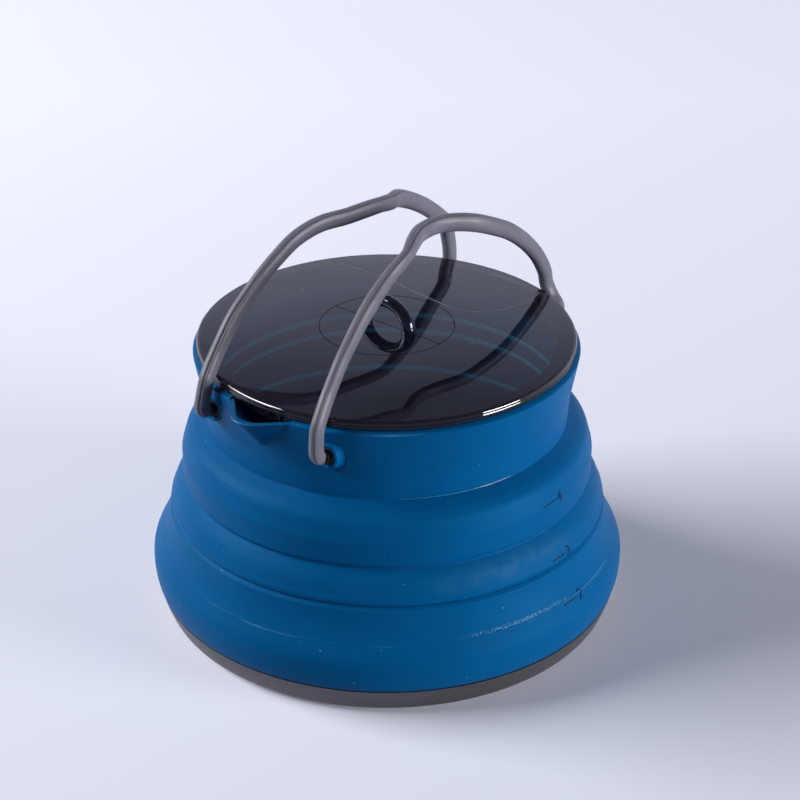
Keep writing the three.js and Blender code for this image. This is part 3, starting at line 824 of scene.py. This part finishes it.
def girth_at(direction, hoop, line):
    """How thick the sleeve is at each point of its line, read off between the hoop's rows."""
    places = handle_knots(direction, hoop)[HOOK_STEPS:-HOOK_STEPS]
    run, total = [], 0.0
    for before, here in zip([line[0]] + line, line):
        total += (here - before).length
        run.append(total)
    rows = []
    for spot, row in zip(places, hoop):
        nearest = min(range(len(line)), key=lambda i: (line[i] - spot).length)
        rows.append((run[nearest], row[4]))
    return np.interp(run, [r for r, g in rows], [g for r, g in rows])


def smooth_path(knots, steps=6):
    """Points on a smooth line through the knots."""
    ends = [2 * knots[0] - knots[1]] + knots + [2 * knots[-1] - knots[-2]]
    line = []
    for p0, p1, p2, p3 in zip(ends, ends[1:], ends[2:], ends[3:]):
        t0 = 0.0
        t1 = t0 + (p1 - p0).length ** 0.5
        t2 = t1 + (p2 - p1).length ** 0.5
        t3 = t2 + (p3 - p2).length ** 0.5
        for k in range(steps):
            t = lerp(t1, t2, k / steps)
            a1 = p0.lerp(p1, (t - t0) / (t1 - t0))
            a2 = p1.lerp(p2, (t - t1) / (t2 - t1))
            a3 = p2.lerp(p3, (t - t2) / (t3 - t2))
            b1 = a1.lerp(a2, (t - t0) / (t2 - t0))
            b2 = a2.lerp(a3, (t - t1) / (t3 - t1))
            line.append(b1.lerp(b2, (t - t1) / (t2 - t1)))
    return line + [knots[-1].copy()]


def sleeve_section(count=80):
    """The sleeve's outline: a flattened round with a fine channel along its outer middle."""
    power = 2 / 2.4
    section = []
    for turn in full_turn(count):
        c, s = math.cos(turn), math.sin(turn)
        away = abs(turn - CHANNEL_TURN)
        channel = 0.12 * math.exp(-(away / 0.13) ** 2)
        ridge = 0.03 * math.exp(-((away - 0.33) / 0.14) ** 2)
        size = (1 - channel + ridge) / 2
        section.append((GRIP_WIDE * size * math.copysign(abs(c) ** power, c),
                        SLEEVE_DEEP * size * math.copysign(abs(s) ** power, s)))
    return section


def sweep(name, line, sections, material, smooth):
    """A closed tube through a line's points, with one outline for each point."""
    verts = []
    for i, point in enumerate(line):
        way = (line[min(i + 1, len(line) - 1)] - line[max(i - 1, 0)]).normalized()
        out = way.cross(Vector((1, 0, 0))).normalized()
        across = out.cross(way).normalized()
        verts += [point + across * x - out * y for x, y in sections[i]]
    return new_object(name, verts, tube_faces(len(line), len(sections[0])), material, smooth)


def make_sleeve(name, direction, hoop):
    line = smooth_path(handle_knots(direction, hoop))
    run = np.cumsum([0] + [(b - a).length for a, b in zip(line, line[1:])])
    kept = [i for i, along in enumerate(run) if SLEEVE_SHORT < along < run[-1] - SLEEVE_SHORT]
    outline = sleeve_section()
    girth = girth_at(direction, hoop, line)
    sections = []
    for i in kept:
        to_end = min(run[i], run[-1] - run[i]) - SLEEVE_SHORT
        size = girth[i] * lerp(SLEEVE_TIP, 1, 1 - (1 - min(to_end / SLEEVE_TAPER, 1)) ** 2)
        sections.append([(x * size, y * size) for x, y in outline])
    return sweep(name, [line[i] for i in kept], sections, sleeve, 60)


def make_wire(name, direction, hoop):
    line = smooth_path(handle_knots(direction, hoop))
    tail = EYE_FACE - EYE_INNER + MM
    ends = [Vector((p.x, math.copysign(abs(p.y) - tail, p.y), p.z)) for p in (line[0], line[-1])]
    line = ends[:1] + line + ends[1:]
    outline = [(WIRE * math.cos(t), WIRE * math.sin(t)) for t in full_turn(16)]
    return sweep(name, line, [outline] * len(line), steel, 60)


# The lid
def dome(radius):
    share = max(0.0, (radius - LID_FLAT) / (LID - LID_INSET - LID_FLAT))
    return LID_TOP - DOME_DROP - (LID_CROWN - DOME_DROP) * share ** 2


# How far in from the lid's edge and below its brow each break of the edge lies
LID_SIDE = [(0.62, 0.3), (0.48, 0.455), (0.38, 0.6), (0.32, 0.75), (0.28, 0.9), (0.28, 1.5), (0.24, 1.6),
            (0.2, 1.75), (0, 1.88), (0, 2.5)]


def make_lid():
    edge = LID - LID_INSET
    inner = LAND_INNER - SKIRT_GAP - SKIRT_WALL
    top = [(r, dome(r)) for r in np.linspace(LID_FLAT, edge, 16)]
    side = [(LID - back * MM, LID_EDGE_TOP - down * MM) for back, down in LID_SIDE]
    outside = [(0, dome(0))] + top + side + [(LID - 0.25 * MM, RIM_TOP + 0.3 * MM), (edge, RIM_TOP)]
    under = [(r, dome(r) - LID_SKIN) for r in np.linspace(inner, LID_FLAT, 12)]
    outline = outside + [(inner, RIM_TOP)] + under + [(0, dome(0) - LID_SKIN)]
    lid = revolve("lid_dome", outline, smoky, 2 * SIDES, 14)
    for other in (smoky_inside, smoky_edge, smoky_glint):
        lid.data.materials.append(other)
    under_slot, edge_slot, glint_slot = 1, 2, 3
    for face in lid.data.polygons:
        reach = math.hypot(*face.center[:2])
        if face.normal.z < -0.5 and reach < inner:
            face.material_index = under_slot
        elif face.normal.z < 0.2 and reach > inner - 0.1 * MM:
            face.material_index = edge_slot
        elif face.normal.z < 0.75 and reach > edge:
            face.material_index = glint_slot
    return lid


def make_loop():
    """A standing half hoop, wider than high, its feet spreading a little onto the lid."""
    along, around = 49, 28
    verts = []
    for turn in np.linspace(0, math.pi, along):
        foot = 1 + 0.2 * abs(math.cos(turn)) ** 8
        for a in full_turn(around):
            out = LOOP_TUBE * math.cos(a) * (foot if math.cos(a) < 0 else 1)
            verts.append(((LOOP_WIDE + out) * math.cos(turn), LOOP_TUBE * foot * math.sin(a),
                          dome(0) + (LOOP_HIGH + out) * math.sin(turn)))
    return new_object("lid_finger_loop", verts, tube_faces(along, around), smoky_thick, 50)


def hair_line(name, places, width, proud, material):
    """A fine raised line that follows the lid's top through places in plan."""
    verts = []
    for i, spot in enumerate(places):
        before, after = places[max(i - 1, 0)], places[min(i + 1, len(places) - 1)]
        way = np.array(after) - np.array(before)
        normal = np.array((-way[1], way[0])) / max(np.linalg.norm(way), 1e-9)
        for across, up in ((-0.5, -0.05 * MM), (-0.3, proud), (0.3, proud), (0.5, -0.05 * MM)):
            x, y = np.array(spot) + normal * across * width
            verts.append((x, y, dome(math.hypot(x, y)) + up))
    return new_object(name, verts, tube_faces(len(places), 4), material, 30)


def lid_lines():
    """The ring and the two half lines moulded across the lid, and the pale edge of its panel."""
    proud = 0.05 * MM
    turns = np.linspace(0, 2 * math.pi, 121)
    ring = [(LID_RING * math.cos(t), LID_RING * math.sin(t)) for t in turns]
    lines = [hair_line("lid_ring_line", ring, LID_LINE, proud, line_dark)]
    for name, side in (("left", -1), ("right", 1)):
        half = [(side * x, 0) for x in np.linspace(0.1 * MM, LID_RING, 12)]
        lines.append(hair_line(f"lid_mid_line_{name}", half, LID_LINE, proud, line_dark))
    corners = [Vector((x * MM, y * MM, 0)) for x, y in
               ((-48, 30.8), (-38, 30.6), (-25, 29.5), (-12, 27.3), (0, 25.4), (9, 25), (16, 27),
                (20.5, 31.5), (22.9, 38), (23.5, 45), (23.2, 52), (22, 58))]
    panel = [(p.x, p.y) for p in smooth_path(corners, 5)]
    return lines + [hair_line("lid_panel_line", panel, PANEL_LINE, 0.06 * MM, line_pale)]


# Capacity marks
def wrap_on_side(verts, angle, height, outline, proud):
    """Flat points laid round the body's side, their depth becoming how far they stand proud."""
    middle = radius_at(outline, height)
    placed = []
    for x, y, z in verts:
        turn, up = angle + x / middle, height + y
        r = radius_at(outline, up) + z * proud
        placed.append((r * math.cos(turn), r * math.sin(turn), up))
    return placed


def make_mark(name, text, angle, height, outline):
    """A tick and the figure after it, standing a little proud of the body's side, in a darker silicone:
    painted shade.
    """
    half = 0.5
    curve = bpy.data.curves.new(name, "FONT")
    curve.body = text
    curve.size = MARK_SIZE
    curve.extrude = half
    curve.align_y = "CENTER"
    holder = bpy.data.objects.new(name, curve)
    bpy.context.scene.collection.objects.link(holder)
    graph = bpy.context.evaluated_depsgraph_get()
    flat = bpy.data.meshes.new_from_object(holder.evaluated_get(graph))
    verts = [(v.co.x + TICK_LONG + MARK_GAP, v.co.y, v.co.z) for v in flat.vertices]
    faces = [tuple(p.vertices) for p in flat.polygons]
    bpy.data.objects.remove(holder, do_unlink=True)
    along, low, high = 6, -TICK_WIDE / 2, TICK_WIDE / 2
    faces += tube_faces(along, 4, len(verts))
    for x in np.linspace(0, TICK_LONG, along):
        verts += [(x, low, -half), (x, low, half), (x, high, half), (x, high, -half)]
    placed = wrap_on_side(verts, angle, height, outline, MARK_PROUD)
    return new_object(name, placed, faces, silicone_mark_painted_shade, 30)


# Assembly, lights and camera
def dress(obj, body, slot, *nodes):
    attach(obj, body)
    if nodes:
        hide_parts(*nodes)


def dress_fold(obj, *nodes):
    """For what lies along the folds, between the bowl's shoulder and the collar's foot. It is joined to
    no body.
    """
    if nodes:
        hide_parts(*nodes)
    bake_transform(obj)


def build_kettle():
    dress(make_pan(), "base", "anodised", "pan")
    dress(make_bowl(), "base", "silicone", "bowl")
    dress_fold(make_wall(), "folding_wall")
    dress(make_collar(), "collar", "silicone", "collar")
    step = inner_edge("inner_edge_step", STEP_RADIUS - 0.1 * MM, COLLAR_STEP - 2 * MM)
    foot = inner_edge("inner_edge_foot", HIGH_CREASE, COLLAR_FOOT + 0.6 * MM)
    for bead in (step, foot, foot_bead(), spout_bead()):
        dress(bead, "collar", "silicone")
    dress_fold(inner_edge("inner_edge_low", LOW_CREASE + 0.4 * MM, lerp(WALL_FOOT, COLLAR_FOOT, 0.42)))
    for end, side in (("front", -1), ("back", 1)):
        for name, x in (("left", -PIVOT_X), ("right", PIVOT_X)):
            dress(make_eyelet(f"bush_{end}_{name}", x, side), "collar", "bush", f"eyelet_{end}_{name}")
    for name, direction, hoop in (("left", -1, LEFT_HOOP), ("right", 1, RIGHT_HOOP)):
        cover = make_sleeve(f"sleeve_{name}", direction, hoop)
        dress(cover, f"handle_{name}", "sleeve", f"grip_{name}")
        wire = make_wire(f"bent_wire_{name}", direction, hoop)
        dress(wire, f"handle_{name}", "steel", f"wire_{name}")
    dress(make_lid(), "lid", "smoky", "lid_plate")
    dress(make_loop(), "lid", "smoky", "lid_loop")
    for line in lid_lines():
        dress(line, "lid", "smoky")
    bowl_side, wall_side = bowl_outside(), wall_outside()
    low_turn = MARK_TURN + math.radians(0.8)
    dress(make_mark("mark_low", "2", low_turn, MARK_LOW, bowl_side), "base", "silicone")
    for name, text, height in (("mark_mid", "3", MARK_MID), ("mark_high", "4", MARK_HIGH)):
        dress_fold(make_mark(name, text, MARK_TURN, height, wall_side))
    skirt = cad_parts["lid_skirt"]
    skirt.data.materials.clear()
    skirt.data.materials.append(smoky)


def area_light(name, turn, rise, size, watts):
    """A lamp at a turn from +X and a height in degrees, aimed at the kettle."""
    a, e = math.radians(turn), math.radians(rise)
    lamp = bpy.data.lights.new(name, "AREA")
    lamp.shape = "RECTANGLE"
    lamp.size, lamp.size_y = size
    lamp.energy = watts
    obj = bpy.data.objects.new(name, lamp)
    way = Vector((math.cos(a) * math.cos(e), math.sin(a) * math.cos(e), math.sin(e)))
    obj.location = LAMP_AIM + LAMP_DISTANCE * way
    obj.rotation_euler = (LAMP_AIM - obj.location).to_track_quat("-Z", "Y").to_euler()
    bpy.context.scene.collection.objects.link(obj)


def path_level(owner, rays, low, high):
    """A number that is high for rays of the named kinds and low for the others."""
    path = node(owner, "ShaderNodeLightPath")
    value = path.outputs[rays[0]]
    for kind in rays[1:]:
        value = maths(owner, "MAXIMUM", value, path.outputs[kind])
    return span(owner, value, (0, 1, low, high))


def make_floor():
    """A pale sheet. Only rays that look at it or mirror it meet its glow, which grows to one side."""
    mat = material("floor", FLOOR_COLOUR, 0.6)
    adjust(mat, {"Specular IOR Level": 0.1})
    shade = node(mat, "ShaderNodeVectorMath", operation="SCALE")
    link(mat, tone(mat, 3, 2, [c * 0.985 for c in FLOOR_COLOUR], FLOOR_COLOUR), shade.inputs[0])
    link(mat, path_level(mat, SEEN_RAYS, FLOOR_BOUNCE, 1), shade.inputs["Scale"])
    link(mat, shade.outputs["Vector"], shader_input(mat, "Base Color"))
    depth = span(mat, reach_along(mat, place(mat), PALE_TURN), (*FLOOR_SPAN, 0, 1))
    glow = ramp(mat, depth, 0, 1, FLOOR_GLOW_NEAR, FLOOR_GLOW_FAR)
    link(mat, glow, shader_input(mat, "Emission Color"))
    link(mat, path_level(mat, SEEN_RAYS[:2], 0, 1), shader_input(mat, "Emission Strength"))
    corners = [(x * FLOOR_HALF, y * FLOOR_HALF, 0) for x, y in ((-1, -1), (1, -1), (1, 1), (-1, 1))]
    floor = new_object("floor", corners, [(0, 1, 2, 3)], mat)
    floor.location.z = -FLOOR_DROP


def make_world():
    """Even where it is looked at. In reflections it is brighter on one side, and dimmer high up."""
    world = bpy.data.worlds.new("studio")
    bpy.context.scene.world = world
    world.use_nodes = True
    back = world.node_tree.nodes["Background"]
    back.inputs["Color"].default_value = SKY_COLOUR
    coords = node(world, "ShaderNodeTexCoord").outputs["Generated"]
    side = span(world, reach_along(world, coords, PALE_TURN), WORLD_FADE)
    side = maths(world, "MAXIMUM", path_level(world, SEEN_RAYS[:1], 0, 1), side)
    strength = maths(world, "MULTIPLY", path_level(world, SEEN_RAYS, WORLD_LIGHT, WORLD_SEEN), side)
    rise = span(world, height_of(world, coords), WORLD_RISE)
    link(world, maths(world, "MULTIPLY", strength, rise), back.inputs["Strength"])


def make_camera():
    camera = bpy.data.cameras.new("camera")
    camera.lens = CAMERA_LENS
    camera.sensor_width = CAMERA_SENSOR
    camera.clip_start = 10 * MM
    obj = bpy.data.objects.new("camera", camera)
    obj.location = CAMERA_PLACE
    obj.rotation_euler = (math.radians(90 - CAMERA_PITCH), 0, math.radians(CAMERA_TURN))
    bpy.context.scene.collection.objects.link(obj)
    bpy.context.scene.camera = obj


make_camera()
make_world()
make_floor()
for lamp in LAMPS:
    area_light(*lamp)
build_kettle()
bpy.context.scene.view_settings.view_transform = "Standard"
